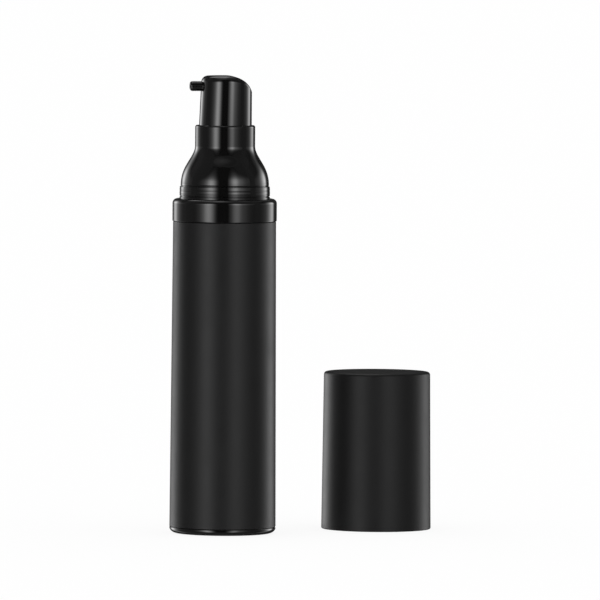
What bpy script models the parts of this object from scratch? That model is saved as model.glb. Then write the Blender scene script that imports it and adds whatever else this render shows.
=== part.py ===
"""An airless travel pump bottle with its overcap standing beside it.

The origin is the centre of the bottle's flat foot and +Z is the bottle's axis. The overcap stands to its right, at
+X, and a little behind, at +Y. Lengths are in metres. Every piece is turned about its own axis except the push head,
which is lofted, and the spout.
"""

import math

import bmesh
import bpy
from mathutils import Matrix, Vector

# Fits shared by all pieces
SEAT_GAP = 0.0003
SEAL_GAP = 0.00015
MERGE_DISTANCE = 1e-6
CUT_OVERRUN = 0.001
OUTER_SIDES = 32
INNER_SIDES = 20

# Bottle body, from its bore outwards and from its foot upwards
BORE_RADIUS = 0.0145
BODY_WALL = 0.0011
BODY_DRAFT = 0.0005
BODY_EDGE_RADIUS = 0.0003
ROOF_WALL = 0.0014
NECK_WALL = 0.0016
NECK_HEIGHT = 0.00865
NECK_LIP_RADIUS = 0.0004

# Base plug
BASE_RIM_HEIGHT = 0.0019
BASE_RIM_RADIUS = 0.0015
BASE_FLOOR = 0.0015
PLUG_RISE = 0.0034
PLUG_WALL = 0.0013
PLUG_CHAMFER = 0.0004
VENT_GROOVE_WIDTH = 0.002
VENT_GROOVE_DEPTH = 0.0005
VENT_GROOVE_INSET = 0.0005
VENT_HOLE_RADIUS = 0.0005
VENT_HOLE_COUNT = 2

# Follower piston
FOLLOWER_TRAVEL = 0.0762
FOLLOWER_WALL = 0.001
FOLLOWER_WAIST_DEPTH = 0.0006
FOLLOWER_LIP_HEIGHT = 0.0014
WELL_CLEARANCE = 0.001

# Pump chamber and its valves, from the stem outwards
STEM_BORE_RADIUS = 0.0012
STEM_WALL = 0.0011
STEM_COLLAR_HEIGHT = 0.0012
STEM_PORT_RADIUS = 0.0005
CHAMBER_RADIUS = 0.0046
CHAMBER_WALL = 0.0012
PUMP_STROKE = 0.0075
STROKE_CLEARANCE = 0.0005
VALVE_RING_STEP = 0.001
VALVE_DISC_HEIGHT = 0.0016
SPIGOT_HEIGHT = 0.0012
SPIGOT_GAP = 0.0002
SEAL_HEIGHT = 0.0034
SEAL_LIP_HEIGHT = 0.0008
SEAL_WAIST_DEPTH = 0.0003
SEAL_CAVITY_HEIGHT = 0.0024
SEAL_CAVITY_DEPTH = 0.0005
SEAL_SHIFT = 0.0006
BALL_RADIUS = 0.002
BALL_LIFT = 0.0008
BALL_POCKET_GAP = 0.0004
BALL_LIP_HEIGHT = 0.0006
BALL_LIP_OVERLAP = 0.0003
INLET_RADIUS = 0.0013
INLET_HEIGHT = 0.0014
CHAMBER_FOOT_HEIGHT = 0.0016

# What clamps the pump on the neck
GASKET_HEIGHT = 0.0008
GASKET_OVERHANG = 0.0008
FLANGE_HEIGHT = 0.0012
FLANGE_INSET = 0.0002
GUIDE_PLUG_DEPTH = 0.0045
GUIDE_FLANGE_HEIGHT = 0.0009
GUIDE_FLANGE_OVERLAP = 0.001
GUIDE_TOWER_HEIGHT = 0.0041
GUIDE_TOWER_WALL = 0.001
CLOSURE_WALL = 0.0011
CLOSURE_PLATE = 0.0011
CLOSURE_CHAMFER = 0.0008
CLOSURE_CHAMFER_HEIGHT = 0.003
CLOSURE_FOOT_GAP = 0.0009

# Return spring
SPRING_WIRE_RADIUS = 0.00035
SPRING_CLEARANCE = 0.00065
SPRING_TURNS = 6
SPRING_RESERVE = 0.0021
SPRING_CLOSED_PITCH_SHARE = 1.1
SPRING_POINTS_PER_TURN = 10

# Collar band and shoulder
COLLAR_STEP = 0.0002
COLLAR_WALL = 0.00182
COLLAR_HEIGHT = 0.00655
COLLAR_OUTER_ROUND = 0.0014
COLLAR_INNER_ROUND = 0.0002
SHOULDER_WALL = 0.0013
BAND_GROOVE_OFFSET = 0.0007
SNAP_BAND_HEIGHT = 0.00315
BAND_GROOVE_DEPTH = 0.00018
BAND_GROOVE_HEIGHT = 0.0002
BAND_STEP = 0.00022
SNAP_RIB_COUNT = 2
SNAP_RIB_HEIGHT = 0.0006
SNAP_RIB_RISE = 0.00004
CROWN_START_INSET = 0.0005
CROWN_HEIGHT = 0.0101
CROWN_CURVE_POWER = 1.03
CROWN_POINTS = 9
NECK_RING_HEIGHT = 0.00635
NECK_RING_WALL = 0.00078
NECK_RING_ROUND = 0.0006
NECK_RING_MOUTH_CHAMFER = 0.0001

# Push head and spout
HEAD_RADIUS = 0.00803
HEAD_DRAFT = 0.0003
HEAD_LEAN = 0.0004
HEAD_GAP = 0.00028
HEAD_WALL = 0.00115
HEAD_ROOF = 0.0011
HEAD_SHOWING = 0.01495
HEAD_OVERLAP = 0.0023
HEAD_REAR_DROP = 0.007
HEAD_EDGE_RADIUS = 0.002
HEAD_EDGE_STEPS = 4
HEAD_ROUND_SHARES = (0.95, 0.85, 0.7, 0.5, 0.3)
SPOUT_BELOW_TOP = 0.0032
SPOUT_RADIUS = 0.00147
SPOUT_CHANNEL_RADIUS = 0.0008
SPOUT_REACH = 0.0109
SPOUT_YAW = math.radians(5)
SPOUT_OPENING_GAP = 0.00035
TIP_LENGTH = 0.002
TIP_STEP = 0.00003
TIP_ROUND = 0.0009
TIP_ORIFICE_RADIUS = 0.00035
TIP_SPIGOT_LENGTH = 0.0015
HUB_WALL = 0.0009
HUB_SOCKET_DEPTH = 0.006
HUB_SLEEVE_CLEARANCE = 0.0007
HUB_FLANGE_HEIGHT = 0.001
HUB_FLANGE_MARGIN = 0.00045
HUB_HEAD_INSET = 0.0008
HUB_TAPER_HEIGHT = 0.001
HUB_TOP_BELOW_ROOF = 0.0006
HUB_TOP_CHAMFER = 0.0004

# Overcap and its liner
CAP_OFFSET = 0.0467
CAP_SETBACK = 0.0238
CAP_DRAFT = 0.0005
CAP_HEIGHT = 0.048
CAP_WALL = 0.00129
CAP_TOP_WALL = 0.0018
CAP_TOP_ROUND = 0.0009
CAP_RIM_ROUND = 0.0004
LINER_FIT = 0.0002
LINER_FOOT_GAP = 0.0004
LINER_WALL = 0.00075
LINER_HEADROOM = 0.00565
LINER_BEAD_RISE = 0.0016
LINER_BEAD_HEIGHT = 0.0008
LINER_BEAD_DEPTH = 0.0001

# Radii that follow from the sizes above
body_top_radius = BORE_RADIUS + BODY_WALL
body_foot_radius = body_top_radius + BODY_DRAFT
collar_radius = body_top_radius + COLLAR_STEP
collar_bore = collar_radius - COLLAR_WALL
shoulder_radius = collar_bore - SEAT_GAP
shoulder_bore = shoulder_radius - SHOULDER_WALL
closure_radius = shoulder_bore - SEAT_GAP
closure_bore = closure_radius - CLOSURE_WALL
neck_radius = closure_bore - SEAT_GAP
neck_bore = neck_radius - NECK_WALL
flange_radius = neck_radius - FLANGE_INSET
stem_radius = STEM_BORE_RADIUS + STEM_WALL
guide_bore = stem_radius + SEAT_GAP
guide_tower_radius = guide_bore + GUIDE_TOWER_WALL
spring_radius = guide_tower_radius + SPRING_CLEARANCE + SPRING_WIRE_RADIUS
chamber_radius_outside = CHAMBER_RADIUS + CHAMBER_WALL
guide_flange_radius = chamber_radius_outside + GUIDE_FLANGE_OVERLAP
ball_pocket_radius = BALL_RADIUS + BALL_POCKET_GAP
chamber_foot_radius = ball_pocket_radius + CHAMBER_WALL
well_radius = chamber_radius_outside + WELL_CLEARANCE
hub_socket_radius = stem_radius + SPIGOT_GAP
hub_radius = hub_socket_radius + HUB_WALL
hub_flange_radius = spring_radius + SPRING_WIRE_RADIUS + HUB_FLANGE_MARGIN
neck_ring_bore = HEAD_RADIUS + HEAD_GAP
neck_ring_radius = neck_ring_bore + NECK_RING_WALL
liner_bore = shoulder_radius + LINER_FIT
liner_radius = liner_bore + LINER_WALL
cap_radius = liner_radius + SEAT_GAP + CAP_WALL + CAP_DRAFT

# The pump's heights, counted from the neck's lip, which is zero here
gasket_foot = SEAT_GAP
flange_foot = gasket_foot + GASKET_HEIGHT + SEAT_GAP
flange_top = flange_foot + FLANGE_HEIGHT
plate_foot = flange_top + SEAT_GAP
guide_plug_foot = plate_foot - GUIDE_PLUG_DEPTH
stem_collar_top = guide_plug_foot - SEAT_GAP
stem_collar_foot = stem_collar_top - STEM_COLLAR_HEIGHT
seal_top = stem_collar_foot - SEAL_SHIFT - SEAL_GAP
seal_foot = seal_top - SEAL_HEIGHT
valve_disc_top = seal_foot - SEAT_GAP
valve_disc_foot = valve_disc_top - VALVE_DISC_HEIGHT
chamber_floor = valve_disc_foot - PUMP_STROKE - STROKE_CLEARANCE
ball_lip_foot = chamber_floor - BALL_LIP_HEIGHT
ball_centre = ball_lip_foot - BALL_LIFT - BALL_RADIUS
seat_apex = ball_centre - (BALL_RADIUS + SEAT_GAP) * math.sqrt(2)
pump_foot = seat_apex + INLET_RADIUS - INLET_HEIGHT

# Heights above the table
pump_hang = -pump_foot - NECK_HEIGHT - ROOF_WALL
plug_top = BASE_RIM_HEIGHT + PLUG_RISE
body_foot = BASE_RIM_HEIGHT + SEAT_GAP
well_floor = BASE_FLOOR + SEAT_GAP + FOLLOWER_WALL
follower_top = well_floor + pump_hang
follower_foot = plug_top + SEAT_GAP
roof_underside = follower_top + FOLLOWER_TRAVEL + SEAT_GAP
body_top = roof_underside + ROOF_WALL
neck_top = body_top + NECK_HEIGHT
collar_foot = body_top + SEAT_GAP
collar_top = collar_foot + COLLAR_HEIGHT
band_foot = collar_top + BAND_GROOVE_OFFSET
band_top = band_foot + SNAP_BAND_HEIGHT
closure_top = neck_top + plate_foot + CLOSURE_PLATE
crown_start = closure_top
crown_top = crown_start + CROWN_HEIGHT
neck_ring_top = crown_top + NECK_RING_HEIGHT
head_foot = neck_ring_top - HEAD_OVERLAP
head_top = neck_ring_top + HEAD_SHOWING
spout_height = head_top - SPOUT_BELOW_TOP
guide_flange_top = neck_top + plate_foot + GUIDE_FLANGE_HEIGHT
guide_tower_top = guide_flange_top + GUIDE_TOWER_HEIGHT
spring_foot = guide_flange_top + SEAT_GAP
spring_height = PUMP_STROKE + (SPRING_TURNS + 1) * 2 * SPRING_WIRE_RADIUS + SPRING_RESERVE
hub_flange_foot = spring_foot + spring_height + SEAT_GAP
hub_foot = guide_tower_top + PUMP_STROKE + HUB_SLEEVE_CLEARANCE
hub_socket_top = hub_foot + HUB_SOCKET_DEPTH
cap_inside_top = CAP_HEIGHT - CAP_TOP_WALL
liner_top = cap_inside_top - LINER_HEADROOM - LINER_WALL


def clear_scene():
    """Removes the scene's objects."""
    for obj in list(bpy.data.objects):
        bpy.data.objects.remove(obj, do_unlink=True)


def collection_named(name):
    """Adds a collection to the scene."""
    made = bpy.data.collections.new(name)
    bpy.context.scene.collection.children.link(made)
    return made


def plastic(name, colour, roughness, metallic=0.0):
    """A Principled material with one colour."""
    material = bpy.data.materials.new(name)
    material.use_nodes = True
    shader = material.node_tree.nodes["Principled BSDF"]
    shader.inputs["Base Color"].default_value = (*colour, 1.0)
    shader.inputs["Roughness"].default_value = roughness
    shader.inputs["Metallic"].default_value = metallic
    return material


def arc(centre_radius, centre_height, radius, start_degrees, end_degrees, steps):
    """Points (radius, height) along an arc; zero degrees points outwards and ninety points up."""
    points = []
    for step in range(steps + 1):
        angle = math.radians(start_degrees + (end_degrees - start_degrees) * step / steps)
        points.append((centre_radius + radius * math.cos(angle), centre_height + radius * math.sin(angle)))
    return points


def frame_at(name, location=(0, 0, 0), yaw=0.0, parent=None):
    """An empty on a moving body's axis."""
    empty = bpy.data.objects.new(name, None)
    empty.location = location
    empty.rotation_euler = (0, 0, yaw)
    empty.parent = parent
    empty.empty_display_size = BORE_RADIUS
    pieces.objects.link(empty)
    return empty


def add_object(name, mesh, frame, material=None, into=None):
    """Links a mesh as an object, in the pieces' collection or as a hidden cutter."""
    obj = bpy.data.objects.new(name, mesh)
    obj.parent = frame
    (into or pieces).objects.link(obj)
    if into is cutters:
        obj.hide_render = True
        obj.display_type = "WIRE"
    if material:
        mesh.materials.append(material)
    return obj


def turned(name, outline, frame, material, sides):
    """A solid of revolution: the outline runs down its outer side, and back up its bore if it has one."""
    ring = min(radius for radius, _ in outline) > 0
    mesh = bpy.data.meshes.new(name)
    edges = [(i, i + 1) for i in range(len(outline) - 1)]
    if ring:
        edges.append((len(outline) - 1, 0))
    mesh.from_pydata([(radius, 0, height) for radius, height in outline], edges, [])
    obj = add_object(name, mesh, frame, material)
    screw = obj.modifiers.new("Turn", "SCREW")
    screw.steps = sides
    screw.render_steps = sides
    screw.use_merge_vertices = True
    screw.merge_threshold = MERGE_DISTANCE
    screw.use_smooth_shade = False
    return obj


def rod(name, radius, length, matrix, frame, sides):
    """A cutter or an added rod: a cylinder that starts at the matrix's origin and runs along its Z."""
    mesh = bpy.data.meshes.new(name)
    shape = bmesh.new()
    bmesh.ops.create_cone(
        shape, cap_ends=True, segments=sides, radius1=radius, radius2=radius, depth=length,
        matrix=matrix @ Matrix.Translation((0, 0, length / 2)),
    )
    shape.to_mesh(mesh)
    shape.free()
    return add_object(name, mesh, frame, into=cutters)


def combine(obj, other, operation):
    """Adds a Boolean modifier."""
    boolean = obj.modifiers.new(other.name, "BOOLEAN")
    boolean.operation = operation
    boolean.object = other
    boolean.solver = "EXACT"


def lofted(name, rings, first_point, last_point, frame, material):
    """A closed skin over rings with equal counts of points, with a fan at each end."""
    mesh = bpy.data.meshes.new(name)
    shape = bmesh.new()
    loops = [[shape.verts.new(point) for point in ring] for ring in rings]
    count = len(loops[0])
    for lower, upper in zip(loops, loops[1:]):
        for i in range(count):
            shape.faces.new((lower[i], lower[(i + 1) % count], upper[(i + 1) % count], upper[i]))
    for loop, point in ((loops[0], first_point), (loops[-1], last_point)):
        centre = shape.verts.new(point)
        for i in range(count):
            shape.faces.new((centre, loop[i], loop[(i + 1) % count]))
    bmesh.ops.recalc_face_normals(shape, faces=shape.faces)
    shape.to_mesh(mesh)
    shape.free()
    return add_object(name, mesh, frame, material)


def smooth(obj, degrees=35):
    """Shades a mesh smooth up to an angle."""
    obj.data.shade_smooth()
    obj.data.set_sharp_from_angle(angle=math.radians(degrees))


def make_base_plug(frame):
    """The glossy foot: a plug in the bore, a rounded rim, and a vent groove under it so that air can enter."""
    plug_radius = BORE_RADIUS - SEAT_GAP
    plug_bore = plug_radius - PLUG_WALL
    groove_outer = plug_bore - VENT_GROOVE_INSET
    groove_inner = groove_outer - VENT_GROOVE_WIDTH
    outline = [
        (0, BASE_FLOOR),
        (plug_bore, BASE_FLOOR),
        (plug_bore, plug_top),
        (plug_radius - PLUG_CHAMFER, plug_top),
        (plug_radius, plug_top - PLUG_CHAMFER),
        (plug_radius, BASE_RIM_HEIGHT),
        (body_foot_radius, BASE_RIM_HEIGHT),
        *arc(body_foot_radius - BASE_RIM_RADIUS, BASE_RIM_RADIUS, BASE_RIM_RADIUS, 0, -90, 4),
        (groove_outer, 0),
        (groove_outer, VENT_GROOVE_DEPTH),
        (groove_inner, VENT_GROOVE_DEPTH),
        (groove_inner, 0),
        (0, 0),
    ]
    plug = turned("base_plug", outline, frame, gloss_black, OUTER_SIDES)
    for index in range(VENT_HOLE_COUNT):
        turn = Matrix.Rotation(math.tau * index / VENT_HOLE_COUNT, 4, "Z")
        place = turn @ Matrix.Translation(((groove_inner + groove_outer) / 2, 0, -CUT_OVERRUN))
        hole = rod(f"vent_hole_{index + 1}", VENT_HOLE_RADIUS, BASE_FLOOR + 2 * CUT_OVERRUN, place, frame, 8)
        combine(plug, hole, "DIFFERENCE")


def make_bottle_body(frame):
    """The matte cylinder, its roof and its neck in one moulding, open at the foot."""
    outline = [
        *arc(neck_radius - NECK_LIP_RADIUS, neck_top - NECK_LIP_RADIUS, NECK_LIP_RADIUS, 90, 0, 2),
        (neck_radius, body_top),
        *arc(body_top_radius - BODY_EDGE_RADIUS, body_top - BODY_EDGE_RADIUS, BODY_EDGE_RADIUS, 90, 0, 2),
        (body_foot_radius, body_foot),
        (BORE_RADIUS, body_foot),
        (BORE_RADIUS, roof_underside),
        (neck_bore, roof_underside),
        (neck_bore, neck_top),
    ]
    turned("bottle_body", outline, frame, matte_black, OUTER_SIDES)


def make_follower(frame):
    """The rising piston: two lips on a waist, and a well that takes in the pump's foot at the top of its travel."""
    lip_radius = BORE_RADIUS - SEAL_GAP
    waist_radius = lip_radius - FOLLOWER_WAIST_DEPTH
    skirt_bore = waist_radius - FOLLOWER_WALL
    well_outside = well_radius + FOLLOWER_WALL
    well_underside = well_floor - FOLLOWER_WALL
    outline = [
        (0, well_floor),
        (well_radius, well_floor),
        (well_radius, follower_top),
        (lip_radius, follower_top),
        (lip_radius, follower_top - FOLLOWER_LIP_HEIGHT),
        (waist_radius, follower_top - FOLLOWER_LIP_HEIGHT - FOLLOWER_WAIST_DEPTH),
        (waist_radius, follower_foot + FOLLOWER_LIP_HEIGHT + FOLLOWER_WAIST_DEPTH),
        (lip_radius, follower_foot + FOLLOWER_LIP_HEIGHT),
        (lip_radius, follower_foot),
        (skirt_bore, follower_foot),
        (skirt_bore, follower_top - FOLLOWER_WALL),
        (well_outside, follower_top - FOLLOWER_WALL),
        (well_outside, well_underside),
        (0, well_underside),
    ]
    turned("follower_piston", outline, frame, natural_white, OUTER_SIDES)


def make_pump_unit(frame):
    """What hangs in the neck and doesn't turn with the collar: chamber, gasket, stem guide and spring."""
    cone_top = neck_top + chamber_floor - SEAT_GAP
    housing = [
        (flange_radius, neck_top + flange_top),
        (flange_radius, neck_top + flange_foot),
        (chamber_radius_outside, neck_top + flange_foot),
        (chamber_radius_outside, cone_top),
        (chamber_foot_radius, cone_top - CHAMBER_FOOT_HEIGHT),
        (chamber_foot_radius, neck_top + pump_foot),
        (INLET_RADIUS, neck_top + pump_foot),
        (INLET_RADIUS, neck_top + seat_apex + INLET_RADIUS),
        (ball_pocket_radius, neck_top + seat_apex + ball_pocket_radius),
        (ball_pocket_radius, neck_top + ball_lip_foot),
        (BALL_RADIUS - BALL_LIP_OVERLAP, neck_top + ball_lip_foot),
        (BALL_RADIUS - BALL_LIP_OVERLAP, neck_top + chamber_floor),
        (CHAMBER_RADIUS, neck_top + chamber_floor),
        (CHAMBER_RADIUS, neck_top + flange_top),
    ]
    turned("pump_housing", housing, frame, natural_white, INNER_SIDES)

    gasket_bore = neck_bore - GASKET_OVERHANG
    gasket = [
        (flange_radius, neck_top + gasket_foot + GASKET_HEIGHT),
        (flange_radius, neck_top + gasket_foot),
        (gasket_bore, neck_top + gasket_foot),
        (gasket_bore, neck_top + gasket_foot + GASKET_HEIGHT),
    ]
    turned("housing_gasket", gasket, frame, gasket_grey, INNER_SIDES)

    plug_radius = CHAMBER_RADIUS - SEAT_GAP
    guide = [
        (guide_tower_radius, guide_tower_top),
        (guide_tower_radius, guide_flange_top),
        (guide_flange_radius, guide_flange_top),
        (guide_flange_radius, neck_top + plate_foot),
        (plug_radius, neck_top + plate_foot),
        (plug_radius, neck_top + guide_plug_foot),
        (guide_bore, neck_top + guide_plug_foot),
        (guide_bore, guide_tower_top),
    ]
    turned("stem_guide", guide, frame, natural_white, INNER_SIDES)
    make_return_spring(frame)


def make_return_spring(frame):
    """A wire coil with closed ends, between the guide's flange and the hub's."""
    wire = 2 * SPRING_WIRE_RADIUS
    open_height = spring_height - wire
    closed_share = SPRING_CLOSED_PITCH_SHARE * wire / open_height
    curve = bpy.data.curves.new("return_spring", "CURVE")
    curve.dimensions = "3D"
    curve.bevel_depth = SPRING_WIRE_RADIUS
    curve.bevel_resolution = 1
    curve.use_fill_caps = True
    count = SPRING_TURNS * SPRING_POINTS_PER_TURN + 1
    spline = curve.splines.new("POLY")
    spline.points.add(count - 1)
    for index in range(count):
        turns = SPRING_TURNS * index / (count - 1)
        ends = min(turns, 1) + max(turns - (SPRING_TURNS - 1), 0)
        middle = min(max((turns - 1) / (SPRING_TURNS - 2), 0), 1)
        rise = closed_share * ends + (1 - 2 * closed_share) * middle
        angle = math.tau * turns
        height = spring_foot + SPRING_WIRE_RADIUS + open_height * rise
        spline.points[index].co = (spring_radius * math.cos(angle), spring_radius * math.sin(angle), height, 1)
    curve.materials.append(spring_steel)
    spring = bpy.data.objects.new("return_spring", curve)
    spring.parent = frame
    pieces.objects.link(spring)


def make_inlet_ball(frame):
    """The ball that closes the inlet from above."""
    mesh = bpy.data.meshes.new("inlet_ball")
    shape = bmesh.new()
    centre = Matrix.Translation((0, 0, neck_top + ball_centre))
    bmesh.ops.create_uvsphere(shape, u_segments=12, v_segments=8, radius=BALL_RADIUS, matrix=centre)
    shape.to_mesh(mesh)
    shape.free()
    smooth(add_object("inlet_ball", mesh, frame, spring_steel))


def make_collar(frame):
    """What turns to open the bottle: the threaded closure, the shoulder over it and the glossy band round both."""
    chamfer_foot = closure_top - CLOSURE_CHAMFER_HEIGHT
    plate_hole = guide_flange_radius + SEAT_GAP
    closure = [
        (closure_radius - CLOSURE_CHAMFER, closure_top),
        (closure_radius, chamfer_foot),
        (closure_radius, body_top + CLOSURE_FOOT_GAP),
        (closure_bore, body_top + CLOSURE_FOOT_GAP),
        (closure_bore, neck_top + plate_foot),
        (plate_hole, neck_top + plate_foot),
        (plate_hole, closure_top),
    ]
    turned("screw_closure", closure, frame, natural_white, INNER_SIDES)

    outer_round = arc(
        collar_radius - COLLAR_OUTER_ROUND, collar_top - COLLAR_OUTER_ROUND, COLLAR_OUTER_ROUND, 90, 0, 4
    )
    inner_round = arc(
        collar_bore + COLLAR_INNER_ROUND, collar_top - COLLAR_INNER_ROUND, COLLAR_INNER_ROUND, 180, 90, 2
    )
    band = [
        *outer_round,
        (collar_radius, collar_foot),
        (collar_bore, collar_foot),
        *inner_round,
    ]
    turned("collar_ring", band, frame, gloss_black, OUTER_SIDES)
    make_shoulder(frame)


def crown_curve(start_radius, end_radius, start_height, end_height):
    """Points down an S-shaped crown, from its narrow top to its wide foot."""
    points = []
    for index in range(CROWN_POINTS + 1):
        share = 1 - index / CROWN_POINTS
        sweep = (1 - math.cos(math.pi * share**CROWN_CURVE_POWER)) / 2
        radius = start_radius + (end_radius - start_radius) * sweep
        points.append((radius, start_height + (end_height - start_height) * share))
    return points


def make_shoulder(frame):
    """The glossy dome: a skirt inside the collar band, the cap's snap band, the crown and the neck ring."""
    crown_foot_radius = shoulder_radius - CROWN_START_INSET
    groove_radius = shoulder_radius - BAND_GROOVE_DEPTH
    inner_crown_foot = shoulder_bore - CROWN_START_INSET
    ribs = []
    for index in reversed(range(SNAP_RIB_COUNT)):
        middle = band_foot + (band_top - band_foot) * (index + 1) / (SNAP_RIB_COUNT + 1)
        ribs += [
            (shoulder_radius, middle + SNAP_RIB_HEIGHT / 2),
            (shoulder_radius + SNAP_RIB_RISE, middle),
            (shoulder_radius, middle - SNAP_RIB_HEIGHT / 2),
        ]
    outline = [
        *arc(neck_ring_radius - NECK_RING_ROUND, neck_ring_top - NECK_RING_ROUND, NECK_RING_ROUND, 90, 0, 3),
        *crown_curve(crown_foot_radius, neck_ring_radius, crown_start, crown_top),
        (shoulder_radius - BAND_STEP, band_top + BAND_GROOVE_HEIGHT),
        (groove_radius - BAND_STEP, band_top),
        (shoulder_radius, band_top - BAND_GROOVE_HEIGHT),
        *ribs,
        (shoulder_radius, band_foot + BAND_GROOVE_HEIGHT),
        (groove_radius, band_foot),
        (shoulder_radius, band_foot - BAND_GROOVE_HEIGHT),
        (shoulder_radius, collar_foot),
        (shoulder_bore, collar_foot),
        (shoulder_bore, closure_top - CLOSURE_CHAMFER_HEIGHT),
        *reversed(crown_curve(inner_crown_foot, neck_ring_bore, crown_start, crown_top - SHOULDER_WALL)),
        (neck_ring_bore, neck_ring_top - NECK_RING_MOUTH_CHAMFER),
        (neck_ring_bore + NECK_RING_MOUTH_CHAMFER, neck_ring_top),
    ]
    turned("shoulder", outline, frame, gloss_black, OUTER_SIDES)


def make_stem(frame):
    """The hollow stem with its collar and ports, and the valve disc plugged in its foot."""
    collar_radius_here = CHAMBER_RADIUS - VALVE_RING_STEP
    stem = [
        (stem_radius, hub_socket_top - SEAT_GAP),
        (stem_radius, neck_top + stem_collar_top),
        (collar_radius_here, neck_top + stem_collar_top),
        (collar_radius_here, neck_top + stem_collar_foot),
        (stem_radius, neck_top + stem_collar_foot),
        (stem_radius, neck_top + seal_foot),
        (STEM_BORE_RADIUS, neck_top + seal_foot),
        (STEM_BORE_RADIUS, hub_socket_top - SEAT_GAP),
    ]
    pump_stem = turned("pump_stem", stem, frame, natural_white, INNER_SIDES)
    port_height = neck_top + seal_foot + SPIGOT_HEIGHT + STEM_PORT_RADIUS
    port_length = 2 * (stem_radius + CUT_OVERRUN)
    port_place = Matrix.Translation((-port_length / 2, 0, port_height)) @ Matrix.Rotation(math.pi / 2, 4, "Y")
    combine(pump_stem, rod("stem_port", STEM_PORT_RADIUS, port_length, port_place, frame, 8), "DIFFERENCE")

    spigot_radius = STEM_BORE_RADIUS - SPIGOT_GAP
    tip = [
        (0, neck_top + valve_disc_top + SPIGOT_HEIGHT),
        (spigot_radius, neck_top + valve_disc_top + SPIGOT_HEIGHT),
        (spigot_radius, neck_top + valve_disc_top),
        (collar_radius_here, neck_top + valve_disc_top),
        (collar_radius_here, neck_top + (valve_disc_top + valve_disc_foot) / 2),
        (stem_radius, neck_top + valve_disc_foot),
        (0, neck_top + valve_disc_foot),
    ]
    turned("stem_tip", tip, frame, natural_white, INNER_SIDES)


def make_pump_seal(frame):
    """The sliding seal: two lips on the chamber's bore, and a cavity below that leads to the stem's ports."""
    lip_radius = CHAMBER_RADIUS - SEAL_GAP
    waist_radius = lip_radius - SEAL_WAIST_DEPTH
    cavity_radius = guide_bore + SEAL_CAVITY_DEPTH
    top = neck_top + seal_top
    foot = neck_top + seal_foot
    outline = [
        (lip_radius, top),
        (lip_radius, top - SEAL_LIP_HEIGHT),
        (waist_radius, top - SEAL_LIP_HEIGHT - SEAL_WAIST_DEPTH),
        (waist_radius, foot + SEAL_LIP_HEIGHT + SEAL_WAIST_DEPTH),
        (lip_radius, foot + SEAL_LIP_HEIGHT),
        (lip_radius, foot),
        (cavity_radius, foot),
        (cavity_radius, foot + SEAL_CAVITY_HEIGHT - SEAL_CAVITY_DEPTH),
        (guide_bore, foot + SEAL_CAVITY_HEIGHT),
        (guide_bore, top),
    ]
    turned("pump_seal", outline, frame, seal_white, INNER_SIDES)


def head_height(x):
    """The head's top over a point x towards the rear: flat in front, a quarter ellipse down to the rear wall."""
    reach = min(max(x / HEAD_RADIUS, 0), 1)
    return head_top - HEAD_REAR_DROP * (1 - math.sqrt(1 - reach * reach))


def head_ring(radius, drop=0.0, shoulder_share=1.0):
    """A ring of the head's top, lowered by a drop that fades to nothing at the rear."""
    ring = []
    for index in range(OUTER_SIDES):
        angle = math.tau * index / OUTER_SIDES
        fade = 1 - max(math.cos(angle), 0) ** 2
        inset = HEAD_EDGE_RADIUS * fade * (1 - shoulder_share)
        x = (radius - inset) * math.cos(angle)
        y = (radius - inset) * math.sin(angle)
        ring.append(Vector((x, y, head_height(x) - drop * fade)))
    return ring


def flat_ring(radius, height):
    """A level ring of points."""
    angles = [math.tau * index / OUTER_SIDES for index in range(OUTER_SIDES)]
    return [Vector((radius * math.cos(angle), radius * math.sin(angle), height)) for angle in angles]


def make_actuator_shell(frame):
    """The push head: a drafted skirt that leans back, a rounded front edge and the sloping rear, open below."""
    top_radius = HEAD_RADIUS - HEAD_DRAFT
    inside_radius = HEAD_RADIUS - HEAD_WALL
    inside_top_radius = top_radius - HEAD_WALL
    roof_drop = Vector((0, 0, HEAD_ROOF))
    rings = [head_ring(top_radius * share, 0, 0) for share in reversed(HEAD_ROUND_SHARES)]
    for step in reversed(range(HEAD_EDGE_STEPS + 1)):
        angle = math.pi / 2 * step / HEAD_EDGE_STEPS
        rings.append(head_ring(top_radius, HEAD_EDGE_RADIUS * (1 - math.sin(angle)), math.cos(angle)))
    rings.append(flat_ring(HEAD_RADIUS, head_foot))
    rings.append(flat_ring(inside_radius, head_foot))
    rings.append([point - roof_drop for point in head_ring(inside_top_radius)])
    for share in HEAD_ROUND_SHARES[1:]:
        rings.append([point - roof_drop for point in head_ring(inside_top_radius * share)])
    middle = Vector((0, 0, head_height(0)))
    shell = lofted("actuator_shell", rings, middle, middle - roof_drop, frame, gloss_black)
    lean = Matrix.Identity(4)
    lean[0][2] = HEAD_LEAN / (head_top - head_foot)
    lean[0][3] = -lean[0][2] * head_foot
    shell.data.transform(lean)
    smooth(shell)
    opening_radius = SPOUT_RADIUS + SPOUT_OPENING_GAP
    start = inside_radius / 2
    place = Matrix.Translation((-start, 0, spout_height)) @ Matrix.Rotation(-math.pi / 2, 4, "Y")
    opening = rod("spout_opening", opening_radius, HEAD_RADIUS - start + CUT_OVERRUN, place, frame, INNER_SIDES)
    combine(shell, opening, "DIFFERENCE")


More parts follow.
